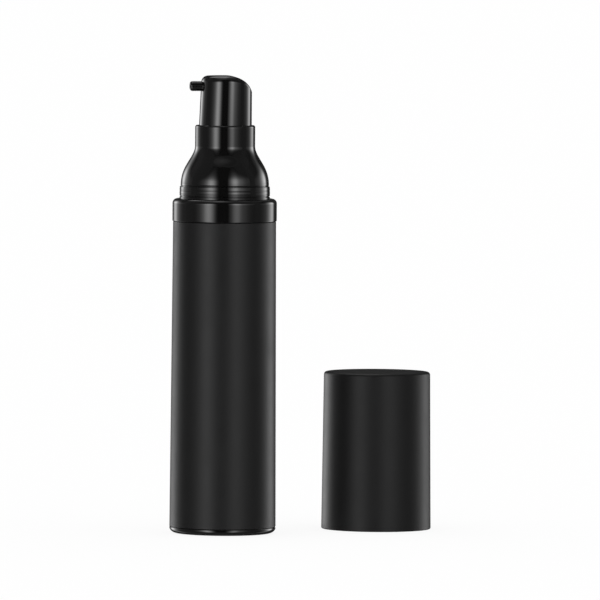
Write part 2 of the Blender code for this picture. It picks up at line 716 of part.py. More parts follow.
def make_nozzle_core(frame):
    """The hub on the stem with the spout's tube, and the channel that turns the product from one to the other."""
    upper_radius = hub_radius - HUB_HEAD_INSET
    hub_top = head_top - HEAD_ROOF - HUB_TOP_BELOW_ROOF
    column = [
        (0, hub_top),
        (upper_radius - HUB_TOP_CHAMFER, hub_top),
        (upper_radius, hub_top - HUB_TOP_CHAMFER),
        (upper_radius, hub_socket_top + 2 * HUB_TAPER_HEIGHT),
        (hub_radius, hub_socket_top + HUB_TAPER_HEIGHT),
        (hub_radius, hub_flange_foot + HUB_FLANGE_HEIGHT),
        (hub_flange_radius, hub_flange_foot + HUB_FLANGE_HEIGHT),
        (hub_flange_radius, hub_flange_foot),
        (hub_radius, hub_flange_foot),
        (hub_radius, hub_foot),
        (0, hub_foot),
    ]
    core = turned("nozzle_core", column, frame, gloss_black, INNER_SIDES)
    tube_length = SPOUT_REACH - TIP_LENGTH - SEAT_GAP
    sideways = Matrix.Translation((0, 0, spout_height)) @ Matrix.Rotation(-math.pi / 2, 4, "Y")
    combine(core, rod("spout_tube", SPOUT_RADIUS, tube_length, sideways, frame, INNER_SIDES), "UNION")
    channel = rod("spout_channel", SPOUT_CHANNEL_RADIUS, tube_length + CUT_OVERRUN, sideways, frame, 12)
    combine(core, channel, "DIFFERENCE")
    socket_place = Matrix.Translation((0, 0, hub_foot - CUT_OVERRUN))
    socket_length = HUB_SOCKET_DEPTH + CUT_OVERRUN
    combine(core, rod("hub_socket", hub_socket_radius, socket_length, socket_place, frame, 16), "DIFFERENCE")
    riser_place = Matrix.Translation((0, 0, hub_socket_top - CUT_OVERRUN))
    riser_length = spout_height - hub_socket_top + CUT_OVERRUN
    combine(core, rod("hub_riser", STEM_BORE_RADIUS, riser_length, riser_place, frame, 12), "DIFFERENCE")


def make_nozzle_tip(frame):
    """The spout's end piece: a rounded ring with a fine orifice, on a spigot in the tube."""
    tip_radius = SPOUT_RADIUS + TIP_STEP
    spigot_radius = SPOUT_CHANNEL_RADIUS - SPIGOT_GAP
    outline = [
        *arc(tip_radius - TIP_ROUND, SPOUT_REACH - TIP_ROUND, TIP_ROUND, 90, 0, 3),
        (tip_radius, SPOUT_REACH - TIP_LENGTH),
        (spigot_radius, SPOUT_REACH - TIP_LENGTH),
        (spigot_radius, SPOUT_REACH - TIP_LENGTH - TIP_SPIGOT_LENGTH),
        (TIP_ORIFICE_RADIUS, SPOUT_REACH - TIP_LENGTH - TIP_SPIGOT_LENGTH),
        (TIP_ORIFICE_RADIUS, SPOUT_REACH),
    ]
    tip = turned("nozzle_tip", outline, frame, gloss_black, INNER_SIDES)
    tip.location = (0, 0, spout_height)
    tip.rotation_euler = (0, -math.pi / 2, 0)


def make_cap(frame):
    """The matte overcap on its mouth, and the liner inside it that snaps on the shoulder's band."""
    top_radius = cap_radius - CAP_DRAFT
    bore_foot = cap_radius - CAP_WALL
    bore_top = top_radius - CAP_WALL
    shell = [
        (0, CAP_HEIGHT),
        *arc(top_radius - CAP_TOP_ROUND, CAP_HEIGHT - CAP_TOP_ROUND, CAP_TOP_ROUND, 90, 0, 4),
        *arc(cap_radius - CAP_RIM_ROUND, CAP_RIM_ROUND, CAP_RIM_ROUND, 0, -90, 2),
        (bore_foot, 0),
        (bore_top, cap_inside_top),
        (0, cap_inside_top),
    ]
    turned("cap_shell", shell, frame, matte_black, OUTER_SIDES)

    bead_foot = LINER_FOOT_GAP + LINER_BEAD_RISE
    liner = [
        (0, liner_top + LINER_WALL),
        (liner_radius, liner_top + LINER_WALL),
        (liner_radius, LINER_FOOT_GAP),
        (liner_bore, LINER_FOOT_GAP),
        (liner_bore, bead_foot),
        (liner_bore - LINER_BEAD_DEPTH, bead_foot + LINER_BEAD_HEIGHT / 2),
        (liner_bore, bead_foot + LINER_BEAD_HEIGHT),
        (liner_bore, liner_top),
        (0, liner_top),
    ]
    turned("cap_liner", liner, frame, liner_black, OUTER_SIDES)


clear_scene()
pieces = collection_named("airless_pump_bottle")
cutters = collection_named("cutters")
cutters.hide_render = True

matte_black = plastic("matte_black", (0.018, 0.018, 0.019), 0.55)
gloss_black = plastic("gloss_black", (0.006, 0.006, 0.007), 0.12)
liner_black = plastic("liner_black", (0.012, 0.012, 0.013), 0.4)
natural_white = plastic("natural_white", (0.75, 0.74, 0.71), 0.45)
seal_white = plastic("seal_white", (0.82, 0.82, 0.8), 0.5)
gasket_grey = plastic("gasket_grey", (0.45, 0.45, 0.44), 0.7)
spring_steel = plastic("spring_steel", (0.6, 0.6, 0.6), 0.25, 1.0)

bottle_frame = frame_at("bottle_frame")
follower_frame = frame_at("follower_frame", parent=bottle_frame)
pump_frame = frame_at("pump_frame", parent=bottle_frame)
collar_frame = frame_at("collar_frame", parent=pump_frame)
ball_frame = frame_at("ball_frame", parent=pump_frame)
stem_frame = frame_at("stem_frame", parent=pump_frame)
seal_frame = frame_at("seal_frame", parent=stem_frame)
head_frame = frame_at("head_frame", yaw=SPOUT_YAW, parent=stem_frame)
cap_frame = frame_at("cap_frame", location=(CAP_OFFSET, CAP_SETBACK, 0), parent=bottle_frame)

make_bottle_body(bottle_frame)
make_base_plug(bottle_frame)
make_follower(follower_frame)
make_pump_unit(pump_frame)
make_inlet_ball(ball_frame)
make_collar(collar_frame)
make_stem(stem_frame)
make_pump_seal(seal_frame)
make_actuator_shell(head_frame)
make_nozzle_core(head_frame)
make_nozzle_tip(head_frame)
make_cap(cap_frame)
bpy.context.view_layer.update()
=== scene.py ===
"""The looks of an airless travel pump bottle and its overcap, and the studio round them.

Lengths are in metres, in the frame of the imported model. The origin is the centre of the bottle's foot, +Z is
its axis, the overcap stands at +X and a little behind, and the camera looks along +Y.
"""

import math

import bmesh
import bpy
from mathutils import Matrix, Vector


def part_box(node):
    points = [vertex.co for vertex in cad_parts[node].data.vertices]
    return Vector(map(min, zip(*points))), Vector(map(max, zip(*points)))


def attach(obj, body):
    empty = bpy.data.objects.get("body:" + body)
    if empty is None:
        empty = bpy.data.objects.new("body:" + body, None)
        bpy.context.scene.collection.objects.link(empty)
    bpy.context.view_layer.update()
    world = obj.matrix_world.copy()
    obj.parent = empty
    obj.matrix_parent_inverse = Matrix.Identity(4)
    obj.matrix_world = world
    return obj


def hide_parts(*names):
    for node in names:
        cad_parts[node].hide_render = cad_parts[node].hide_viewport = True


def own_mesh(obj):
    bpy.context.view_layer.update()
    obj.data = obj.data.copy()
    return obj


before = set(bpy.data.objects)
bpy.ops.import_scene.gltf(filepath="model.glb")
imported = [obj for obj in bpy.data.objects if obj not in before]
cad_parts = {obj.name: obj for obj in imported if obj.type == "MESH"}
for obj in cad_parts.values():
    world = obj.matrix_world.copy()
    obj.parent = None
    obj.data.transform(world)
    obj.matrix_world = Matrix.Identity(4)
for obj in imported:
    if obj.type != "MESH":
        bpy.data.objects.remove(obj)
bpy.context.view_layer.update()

# Fineness of the meshes
SIDES = 192
SMALL_SIDES = 96
CHANNEL_SIDES = 48
HOLE_SIDES = 24
WIRE_SIDES = 16
ARC_STEP = math.radians(11)
SHARP_ANGLE = math.radians(32)
HEAD_TOP_ROWS = 12
HEAD_EDGE_ROWS = 16
LONG_SIDE = 0.001
SUPPORT_INSET = 0.00008

# Fits and walls, as in the solids
SEAT_GAP = 0.0003
VISIBLE_GAP = 0.00005
BORE_RADIUS = 0.0145
BODY_WALL = 0.0011
ROOF_WALL = 0.0014
NECK_WALL = 0.0016
NECK_HEIGHT = 0.00865
THREAD_PITCH = 0.003
THREAD_TURNS = 1.5
THREAD_FOOT = 0.0022
THREAD_HEIGHT = 0.00024
THREAD_ROOT_WIDTH = 0.001
THREAD_CREST_WIDTH = 0.0004
THREAD_FADE_TURNS = 0.12
THREAD_ROOTING = 0.0002
BASE_FLOOR = 0.0015
PLUG_WALL = 0.0013
VENT_GROOVE_WIDTH = 0.002
VENT_GROOVE_DEPTH = 0.0005
VENT_GROOVE_INSET = 0.0005
VENT_HOLE_RADIUS = 0.0005
VENT_HOLE_COUNT = 2
COLLAR_WALL = 0.00182
SHOULDER_WALL = 0.0013
GROOVE_DEPTH = 0.0002
GROOVE_HALF_HEIGHT = 0.0002
LOWER_GROOVE_RISE = 0.0007
SNAP_BAND_HEIGHT = 0.00315
BAND_STEP = 0.00022
BAND_TAPER = 0.00006
SNAP_RIB_HEIGHT = 0.0007
SNAP_RIB_RISE = 0.00004
CROWN_START_INSET = 0.00032
CROWN_START_PHASE = 0.3
CROWN_HEIGHT = 0.0101
CROWN_CURVE_POWER = 1.44
CROWN_BORE_INSET = 0.0005
NECK_RING_WALL = 0.00078
CLOSURE_TAPER_HEIGHT = 0.003
HEAD_RADIUS = 0.00803
HEAD_GAP = 0.00028
HEAD_WALL = 0.00115
HEAD_ROOF = 0.0011
HEAD_DRAFT = 0.0003
HEAD_LEAN = 0.0004
HEAD_REAR_DROP = 0.007
HEAD_EDGE_RADIUS = 0.002
SPOUT_BELOW_TOP = 0.0032
SPOUT_RADIUS = 0.00149
SPOUT_CHANNEL_RADIUS = 0.0008
SPOUT_REACH = 0.0109
SPOUT_YAW = math.radians(5)
SPOUT_OPENING_GAP = 0.0003
TIP_LENGTH = 0.002
TIP_RADIUS = 0.0015
TIP_ORIFICE_RADIUS = 0.00035
TIP_SPIGOT_LENGTH = 0.0015
SPIGOT_GAP = 0.0002
STEM_RADIUS = 0.0023
STEM_BORE_RADIUS = 0.0012
SPRING_WIRE_RADIUS = 0.00035
SPRING_TURNS = 6
SPRING_CLOSED_PITCH_SHARE = 1.1
SPRING_ROWS_PER_TURN = 40
HUB_WALL = 0.0009
HUB_SOCKET_DEPTH = 0.006
HUB_FLANGE_FOOT = 0.12208
HUB_FLANGE_HEIGHT = 0.001
HUB_FLANGE_RADIUS = 0.0054
HUB_HEAD_INSET = 0.0008
HUB_TAPER_HEIGHT = 0.001
CAP_DRAFT = 0.0005
CAP_WALL = 0.00129
CAP_TOP_WALL = 0.0018
LINER_WALL = 0.00075
LINER_BEAD_RISE = 0.0016
LINER_BEAD_HEIGHT = 0.0008
LINER_BEAD_DEPTH = 0.0001

# Rounds on moulded edges
FINE_ROUND = 0.0001
SMALL_ROUND = 0.0002
BASE_ROUND_WIDTH = 0.0024
BASE_ROUND_HEIGHT = 0.0017
PLUG_INNER_ROUND = 0.0005
PLUG_EDGE_ROUND = 0.0004
NECK_LIP_ROUND = 0.0004
BODY_EDGE_ROUND = 0.0003
COLLAR_ROUND = 0.0014
COLLAR_INNER_ROUND = 0.0002
NECK_RING_ROUND = 0.00062
NECK_RING_MOUTH_ROUND = 0.0001
HUB_TOP_ROUND = 0.0004
TIP_ROUND = 0.0009
CAP_TOP_ROUND = 0.0009
CAP_RIM_ROUND = 0.0004
CAP_INNER_ROUND = 0.0008

# Camera, aimed at a point between the bottle and the cap
AIM = Vector((0.02301, 0, 0.07081))
CAMERA_DISTANCE = 3.0
CAMERA_ELEVATION = math.radians(2.7)
CAMERA_ROLL = math.radians(0.42)
SENSOR_WIDTH = 36.0
LENS = 594.3


# Studio cards: azimuth from the camera's side and radiance, then elevation and share, in degrees
CARD_STEP = 4
CARD_DISTANCE = 1.2
OVERHEAD_DISTANCE = 1.3
SURROUND_RADIUS = 6
SURROUND_RADIANCE = 0.17
LEFT_SOFTBOX = [(-75, 0.17), (-66, 0.3), (-57, 0.7), (-52, 1.3), (-47, 2.3), (-42, 4.2), (-38, 5.4),
                (-34, 5.6), (-30, 4.6), (-26, 3.0), (-22, 1.3), (-18, 0.35), (-14, 0.06)]
LEFT_RISE = [(-50, 0.8), (-25, 0.9), (-10, 0.5), (-5, 0.42), (-2, 0.42), (2, 0.67), (4, 0.85), (8, 1.05),
             (16, 0.9), (20, 0.55), (24, 0.3), (28, 0.19), (32, 0.12), (37, 0.075), (45, 0.04), (56, 0.015)]
LEFT_BASE = [(-75, 0.17), (-50, 0.17), (-38, 0.04), (-14, 0.04)]
RIGHT_SOFTBOX = [(8, 0.06), (12, 0.5), (16, 1.0), (20, 2.0), (24, 2.8), (28, 3.1), (32, 2.7), (36, 1.75),
                 (41, 1.1), (47, 0.8), (53, 0.5), (60, 0.3), (70, 0.2)]
RIGHT_RISE = [(-50, 0.9), (-25, 1.0), (-10, 0.6), (-3, 0.5), (2, 0.69), (4, 0.78), (8, 1.4), (13, 1.75),
              (17, 1.7), (21, 1.4), (24, 0.95), (28, 0.57), (32, 0.33), (37, 0.18), (45, 0.07), (56, 0.02)]
RIGHT_BASE = [(8, 0.03), (24, 0.04), (42, 0.15), (70, 0.15)]
MIDDLE_FLAG = [(-14, 0.04), (8, 0.04)]
MIDDLE_FLAG_RISE = [(-50, 1), (57, 1)]
LEFT_RIM_PANEL = [(-168, 0.05), (-158, 0.15), (-153, 0.3), (-149, 1.1), (-145, 1.8), (-139, 2.6),
                  (-135, 2.55), (-129, 1.4), (-121, 0.75), (-113, 0.38), (-105, 0.22), (-95, 0.17)]
LEFT_RIM_BASE = [(-168, 0.05), (-125, 0.06), (-114, 0.17), (-95, 0.2)]
RIGHT_RIM_PANEL = [(86, 0.17), (96, 0.3), (104, 0.5), (112, 1.15), (117, 1.9), (122, 2.6), (128, 3.0),
                   (132, 2.7), (136, 1.4), (140, 0.4), (144, 0.07), (150, 0.05)]
RIGHT_RIM_BASE = [(86, 0.15), (110, 0.08), (125, 0.05), (150, 0.03)]
RIM_PANEL_RISE = [(-50, 0.1), (-24, 0.4), (-13, 1.4), (-8, 1.7), (-3, 0.97), (2, 0.95), (4, 0.98), (8, 1.5),
                  (12, 1.5), (17, 1.2), (20, 0.85), (24, 0.45), (28, 0.2), (34, 0.08), (45, 0.04)]
BACK_FLAG = [(150, 0.05), (192, 0.05)]
BACK_FLAG_RISE = [(-50, 1), (30, 1)]
TOP_PANEL = [(150, 0), (165, 1.2), (185, 2.5), (215, 2.5), (235, 0)]
TOP_PANEL_RISE = [(45, 0), (55, 1), (80, 1), (89, 0.3)]
OVERHEAD = [(-180, 0.6), (-110, 0.9), (-60, 2.2), (-35, 1.8), (0, 1), (20, 0.8), (45, 0.8), (180, 0.8)]
OVERHEAD_RISE = [(58.5, 0.15), (60, 0.17), (61.8, 0.22), (62.8, 0.36), (66, 0.4), (70, 0.5), (89, 0.6)]

# A strip between the bottle and the cap, in place of the part of the right rim panel that the cap hides
GAP_CARD_RADIUS = 0.03
GAP_CARD_TOP = 0.052
GAP_CARD = [(64, 0.17), (73, 0.3), (80, 0.6), (87, 1.3), (91, 2.1), (95, 2.8), (100.5, 3.2), (104, 2.9),
            (107.5, 1.5), (111, 0.4), (114, 0.07), (122, 0.05)]

# The same at the cap's left side, whose light the bottle takes a part of
CAP_GAP_CARD = [(-136, 0.08), (-127, 0.25), (-122.5, 0.5), (-119, 1.7), (-115, 2.6), (-110, 3.9),
                (-106.5, 4.1), (-101.5, 2.6), (-94.5, 1.3), (-88, 0.62), (-81, 0.33), (-72, 0.2)]

# Floor, just under the foot
FLOOR_SIZE = 40
FLOOR_DROP = 0.00005
FLOOR_GLOW = 0.885
FLOOR_SHADE = 0.11
FLOOR_COLOUR = 0.8


def half_width(node):
    """A turned node's outer radius."""
    low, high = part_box(node)
    return (high.x - low.x) / 2


def foot(node):
    """A node's lowest height."""
    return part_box(node)[0].z


def top(node):
    """A node's greatest height."""
    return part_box(node)[1].z


def rounded(corners, closed):
    """The points of an outline whose corners are (radius, height) or (radius, height, round)."""
    points = []
    count = len(corners)
    for index, corner in enumerate(corners):
        here = Vector(corner[:2])
        size = corner[2] if len(corner) > 2 else 0
        if not size or (not closed and index in (0, count - 1)):
            points.append(here)
            continue
        before = (Vector(corners[index - 1][:2]) - here).normalized()
        after = (Vector(corners[(index + 1) % count][:2]) - here).normalized()
        opening = before.angle(after)
        reach = size / math.tan(opening / 2)
        centre = here + (before + after).normalized() * (size / math.sin(opening / 2))
        first = here + before * reach - centre
        turn = math.pi - opening
        if first.y * before.x - first.x * before.y < 0:
            turn = -turn
        steps = max(2, math.ceil(abs(turn) / ARC_STEP))
        for step in range(steps + 1):
            points.append(centre + Matrix.Rotation(turn * step / steps, 2) @ first)
    return supported(points, closed)


def supported(points, closed):
    """The outline with a point near both ends of each long side, so that the side is shaded straight."""
    result = []
    for index, here in enumerate(points):
        result.append(here)
        if index == len(points) - 1 and not closed:
            break
        after = points[(index + 1) % len(points)]
        side = after - here
        if side.length < LONG_SIDE:
            continue
        if here.x > SUPPORT_INSET:
            result.append(here + side.normalized() * SUPPORT_INSET)
        if after.x > SUPPORT_INSET:
            result.append(after - side.normalized() * SUPPORT_INSET)
    return result


def linked(name, mesh, material):
    """Adds a mesh to the scene as a smooth object with sharp edges kept."""
    mesh.shade_smooth()
    mesh.set_sharp_from_angle(angle=SHARP_ANGLE)
    mesh.materials.clear()
    mesh.materials.append(material)
    obj = bpy.data.objects.new(name, mesh)
    bpy.context.scene.collection.objects.link(obj)
    return obj


def skin(name, loops, material, matrix=Matrix.Identity(4), closed=False):
    """A closed mesh over loops of points; a loop of one point is a pole."""
    shape = bmesh.new()
    rows = [[shape.verts.new(matrix @ point) for point in loop] for loop in loops]
    pairs = list(zip(rows, rows[1:]))
    if closed:
        pairs.append((rows[-1], rows[0]))
    for lower, upper in pairs:
        count = max(len(lower), len(upper))
        for i in range(count):
            j = (i + 1) % count
            below = [lower[i % len(lower)], lower[j % len(lower)]]
            above = [upper[j % len(upper)], upper[i % len(upper)]]
            shape.faces.new(list(dict.fromkeys(below + above)))
    bmesh.ops.recalc_face_normals(shape, faces=shape.faces)
    mesh = bpy.data.meshes.new(name)
    shape.to_mesh(mesh)
    shape.free()
    return linked(name, mesh, material)


def ring(radius, height, sides):
    """A level circle of points, or one point on the axis."""
    if radius == 0:
        return [Vector((0, 0, height))]
    angles = [math.tau * index / sides for index in range(sides)]
    return [Vector((radius * math.cos(angle), radius * math.sin(angle), height)) for angle in angles]


def turned(name, corners, material, sides=SIDES, matrix=Matrix.Identity(4)):
    """A solid of revolution from an outline that either meets the axis at both ends or closes as a ring."""
    closed = corners[0][0] > 0
    points = rounded(corners, closed)
    return skin(name, [ring(point.x, point.y, sides) for point in points], material, matrix, closed)


def combined(obj, tool, operation):
    """Applies a Boolean with a tool, and deletes the tool."""
    boolean = obj.modifiers.new(operation, "BOOLEAN")
    boolean.operation = operation
    boolean.object = tool
    boolean.solver = "EXACT"
    bpy.context.view_layer.update()
    mesh = bpy.data.meshes.new_from_object(obj.evaluated_get(bpy.context.evaluated_depsgraph_get()))
    obj.modifiers.clear()
    obj.data = mesh
    mesh.set_sharp_from_angle(angle=SHARP_ANGLE)
    bpy.data.objects.remove(tool)


def rod(radius, length, matrix, material, sides=SMALL_SIDES):
    """A cylinder that starts at the matrix's origin and runs along its Z."""
    return turned("rod", [(0, length), (radius, length), (radius, 0), (0, 0)], material, sides, matrix)


def placed(obj, node, body):
    """Puts a piece in a node's place, with the node hidden, and on its body."""
    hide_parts(node)
    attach(obj, body)


def moulded(name, colour, roughness, roughness_spread, grain, relief, metallic=0.0, specular=0.5):
    """A plastic or metal whose roughness and fine relief come from noise, at a grain size in metres."""
    material = bpy.data.materials.new(name)
    material.use_nodes = True
    nodes = material.node_tree.nodes
    links = material.node_tree.links
    shader = nodes["Principled BSDF"]
    shader.inputs["Base Color"].default_value = (*colour, 1)
    shader.inputs["Metallic"].default_value = metallic
    shader.inputs["Specular IOR Level"].default_value = specular
    place = nodes.new("ShaderNodeTexCoord")
    fine = nodes.new("ShaderNodeTexNoise")
    fine.inputs["Scale"].default_value = 1 / grain
    fine.inputs["Detail"].default_value = 3
    links.new(place.outputs["Object"], fine.inputs["Vector"])
    bump = nodes.new("ShaderNodeBump")
    bump.inputs["Distance"].default_value = relief
    links.new(fine.outputs["Fac"], bump.inputs["Height"])
    links.new(bump.outputs["Normal"], shader.inputs["Normal"])
    broad = nodes.new("ShaderNodeTexNoise")
    broad.inputs["Scale"].default_value = 1 / CLOUD_SIZE
    broad.inputs["Detail"].default_value = 4
    links.new(place.outputs["Object"], broad.inputs["Vector"])
    spread = nodes.new("ShaderNodeMapRange")
    spread.inputs["From Min"].default_value = NOISE_LOW
    spread.inputs["From Max"].default_value = NOISE_HIGH
    spread.inputs["To Min"].default_value = roughness - roughness_spread
    spread.inputs["To Max"].default_value = roughness + roughness_spread
    links.new(broad.outputs["Fac"], spread.inputs["Value"])
    links.new(spread.outputs["Result"], shader.inputs["Roughness"])
    return material


CLOUD_SIZE = 0.006
NOISE_LOW = 0.3
NOISE_HIGH = 0.7

matte_black = moulded("matte_black", (0.0048, 0.0048, 0.005), 0.42, 0.02, 0.00018, 0.0000012, specular=0.26)
cap_black = moulded("cap_black", (0.0055, 0.0055, 0.0057), 0.44, 0.02, 0.00018, 0.0000012, specular=0.21)
gloss_black = moulded("gloss_black", (0.0026, 0.0025, 0.0025), 0.05, 0.012, 0.0012, 0.0000008)
liner_black = moulded("liner_black", (0.011, 0.011, 0.012), 0.33, 0.03, 0.0005, 0.000001)
natural_white = moulded("natural_white", (0.75, 0.74, 0.71), 0.42, 0.05, 0.0006, 0.000002)
seal_white = moulded("seal_white", (0.82, 0.82, 0.8), 0.5, 0.04, 0.0006, 0.000002)
gasket_grey = moulded("gasket_grey", (0.45, 0.45, 0.44), 0.7, 0.05, 0.0002, 0.000004)
spring_steel = moulded("spring_steel", (0.6, 0.6, 0.59), 0.22, 0.05, 0.0001, 0.000001, metallic=1.0)

CARRIED_OVER = {
    "follower_piston": natural_white,
    "pump_housing": natural_white,
    "stem_guide": natural_white,
    "pump_stem": natural_white,
    "stem_tip": natural_white,
    "screw_closure": natural_white,
    "pump_seal": seal_white,
    "housing_gasket": gasket_grey,
    "inlet_ball": spring_steel,
}


def foot_round(outer, steps=12):
    """The elliptic round between the foot's wall and the ground."""
    points = []
    for step in range(steps + 1):
        angle = math.pi / 2 * step / steps
        inset = BASE_ROUND_WIDTH * (1 - math.cos(angle))
        points.append((outer - inset, BASE_ROUND_HEIGHT * (1 - math.sin(angle))))
    return points


def make_base_plug():
    """The glossy foot with its rounded rim, and the vent groove and holes under it."""
    outer = half_width("base_plug")
    rim = foot("bottle_body") - SEAT_GAP
    plug_top = top("base_plug")
    plug_radius = BORE_RADIUS - SEAT_GAP
    plug_bore = plug_radius - PLUG_WALL
    groove_outer = plug_bore - VENT_GROOVE_INSET
    groove_inner = groove_outer - VENT_GROOVE_WIDTH
    plug = turned("base_plug_fine", [
        (0, BASE_FLOOR),
        (plug_bore, BASE_FLOOR, PLUG_INNER_ROUND),
        (plug_bore, plug_top, SMALL_ROUND),
        (plug_radius, plug_top, PLUG_EDGE_ROUND),
        (plug_radius, rim, SMALL_ROUND),
        (outer, rim, SMALL_ROUND),
        *foot_round(outer),
        (groove_outer, 0, FINE_ROUND),
        (groove_outer, VENT_GROOVE_DEPTH, FINE_ROUND),
        (groove_inner, VENT_GROOVE_DEPTH, FINE_ROUND),
        (groove_inner, 0, FINE_ROUND),
        (0, 0),
    ], gloss_black)
    for index in range(VENT_HOLE_COUNT):
        turn = Matrix.Rotation(math.tau * index / VENT_HOLE_COUNT, 4, "Z")
        place = turn @ Matrix.Translation(((groove_inner + groove_outer) / 2, 0, -SEAT_GAP))
        hole = rod(VENT_HOLE_RADIUS, BASE_FLOOR + 2 * SEAT_GAP, place, gloss_black, HOLE_SIDES)
        combined(plug, hole, "DIFFERENCE")
    placed(plug, "base_plug", "bottle")


NECK_RADIUS = half_width("pump_housing") + SPIGOT_GAP


def neck_thread(body_top):
    """The ridge that winds up the neck and fades at both ends."""
    rows = round(THREAD_TURNS * SIDES)
    inner = NECK_RADIUS - THREAD_ROOTING
    loops = []
    for row in range(rows + 1):
        turns = THREAD_TURNS * row / rows
        fade = min(1, turns / THREAD_FADE_TURNS, (THREAD_TURNS - turns) / THREAD_FADE_TURNS)
        crest = inner + (THREAD_ROOTING + THREAD_HEIGHT) * fade
        height = body_top + THREAD_FOOT + THREAD_PITCH * turns
        angle = math.tau * turns
        if fade == 0:
            loops.append([Vector((inner * math.cos(angle), inner * math.sin(angle), height))])
            continue
        section = [
            (inner, -THREAD_ROOT_WIDTH / 2 * fade),
            (crest, -THREAD_CREST_WIDTH / 2 * fade),
            (crest, THREAD_CREST_WIDTH / 2 * fade),
            (inner, THREAD_ROOT_WIDTH / 2 * fade),
        ]
        loops.append([Vector((r * math.cos(angle), r * math.sin(angle), height + z)) for r, z in section])
    return skin("neck_thread", loops, matte_black)


def make_bottle_body():
    """The matte cylinder with its roof and neck in one moulding."""
    neck_top = top("bottle_body")
    body_top = neck_top - NECK_HEIGHT
    roof = body_top - ROOF_WALL
    body_foot = foot("bottle_body") - SEAT_GAP + VISIBLE_GAP
    foot_radius = half_width("bottle_body")
    top_radius = BORE_RADIUS + BODY_WALL
    neck_bore = NECK_RADIUS - NECK_WALL
    body = turned("bottle_body_fine", [
        (NECK_RADIUS, neck_top, NECK_LIP_ROUND),
        (NECK_RADIUS, body_top, BODY_EDGE_ROUND),
        (top_radius, body_top, BODY_EDGE_ROUND),
        (foot_radius, body_foot, SMALL_ROUND),
        (BORE_RADIUS, body_foot, SMALL_ROUND),
        (BORE_RADIUS, roof, BODY_EDGE_ROUND),
        (neck_bore, roof, SMALL_ROUND),
        (neck_bore, neck_top, SMALL_ROUND),
    ], matte_black)
    combined(body, neck_thread(body_top), "UNION")
    placed(body, "bottle_body", "bottle")


def make_collar_ring():
    """The glossy band over the closure, with its large outer round."""
    outer = half_width("collar_ring")
    bore = outer - COLLAR_WALL
    low = foot("collar_ring") - SEAT_GAP + VISIBLE_GAP
    high = top("collar_ring")
    band = turned("collar_ring_fine", [
        (outer, high, COLLAR_ROUND),
        (outer, low, SMALL_ROUND),
        (bore, low, SMALL_ROUND),
        (bore, high, COLLAR_INNER_ROUND),
    ], gloss_black)
    placed(band, "collar_ring", "collar")


def crown_curve(wide, narrow, low, high, steps=36):
    """The S-shaped crown's points, from its narrow top down to its wide foot, where it already slopes."""
    points = []
    for index in range(steps + 1):
        share = 1 - index / steps
        phase = CROWN_START_PHASE + (math.pi - CROWN_START_PHASE) * share**CROWN_CURVE_POWER
        sweep = (math.cos(CROWN_START_PHASE) - math.cos(phase)) / (1 + math.cos(CROWN_START_PHASE))
        points.append((wide + (narrow - wide) * sweep, low + (high - low) * share))
    return points


def groove(radius_above, radius_below, middle):
    """A fine groove round the shoulder, from its upper lip to its lower one."""
    return [
        (radius_above, middle + GROOVE_HALF_HEIGHT, FINE_ROUND / 2),
        (radius_above - GROOVE_DEPTH, middle + GROOVE_HALF_HEIGHT / 2, FINE_ROUND / 2),
        (radius_above - GROOVE_DEPTH, middle - GROOVE_HALF_HEIGHT / 2, FINE_ROUND / 2),
        (radius_below, middle - GROOVE_HALF_HEIGHT, FINE_ROUND / 2),
    ]


def snap_rib(radius, middle, steps=8):
    """A low rounded rib round the snap band."""
    points = []
    for step in range(steps + 1):
        share = step / steps
        rise = SNAP_RIB_RISE * (1 - math.cos(math.tau * share)) / 2
        points.append((radius + rise, middle + SNAP_RIB_HEIGHT * (0.5 - share)))
    return points


def make_shoulder():
    """The dome: its skirt, the cap's snap band between two grooves, the crown and the neck ring."""
    ring_top = top("shoulder")
    skirt_foot = foot("shoulder")
    skirt = half_width("collar_ring") - COLLAR_WALL - SEAT_GAP
    bore = skirt - SHOULDER_WALL
    ring_bore = HEAD_RADIUS + HEAD_GAP
    ring_outer = ring_bore + NECK_RING_WALL
    crown_low = top("screw_closure")
    crown_high = crown_low + CROWN_HEIGHT
    inner_high = crown_high - SHOULDER_WALL
    band_low = top("collar_ring") + LOWER_GROOVE_RISE
    band_high = band_low + SNAP_BAND_HEIGHT
    crown_foot = band_high + 2 * GROOVE_HALF_HEIGHT
    shoulder = turned("shoulder_fine", [
        (ring_outer, ring_top, NECK_RING_ROUND),
        *crown_curve(skirt - CROWN_START_INSET, ring_outer, crown_foot, crown_high),
        *groove(skirt - BAND_STEP, skirt - BAND_TAPER, band_high),
        *snap_rib(skirt - BAND_TAPER * 2 / 3, band_low + SNAP_BAND_HEIGHT * 2 / 3),
        *snap_rib(skirt - BAND_TAPER / 3, band_low + SNAP_BAND_HEIGHT / 3),
        *groove(skirt, skirt, band_low),
        (skirt, skirt_foot, SMALL_ROUND),
        (bore, skirt_foot, SMALL_ROUND),
        (bore, crown_low - CLOSURE_TAPER_HEIGHT),
        *reversed(crown_curve(bore - CROWN_BORE_INSET, ring_bore, crown_low, inner_high)),
        (ring_bore, ring_top, NECK_RING_MOUTH_ROUND),
    ], gloss_black)
    placed(shoulder, "shoulder", "collar")


HEAD_TURN = Matrix.Rotation(SPOUT_YAW, 4, "Z")
SPOUT_WAY = Matrix.Rotation(-math.pi / 2, 4, "Y")


def head_ring(radius, drop, rim_share, sides=SIDES):
    """A ring of the head's top, lowered and drawn in along its rounded edge, which fades towards the rear."""
    head_top = top("actuator_shell")
    points = []
    for index in range(sides):
        angle = math.tau * index / sides
        fade = 1 - max(math.cos(angle), 0) ** 2
        reach = radius - HEAD_EDGE_RADIUS * fade * (1 - rim_share)
        x = reach * math.cos(angle)
        share = min(max(x / HEAD_RADIUS, 0), 1)
        height = head_top - HEAD_REAR_DROP * (1 - math.sqrt(1 - share * share)) - drop * fade
        points.append(Vector((x, reach * math.sin(angle), height)))
    return points


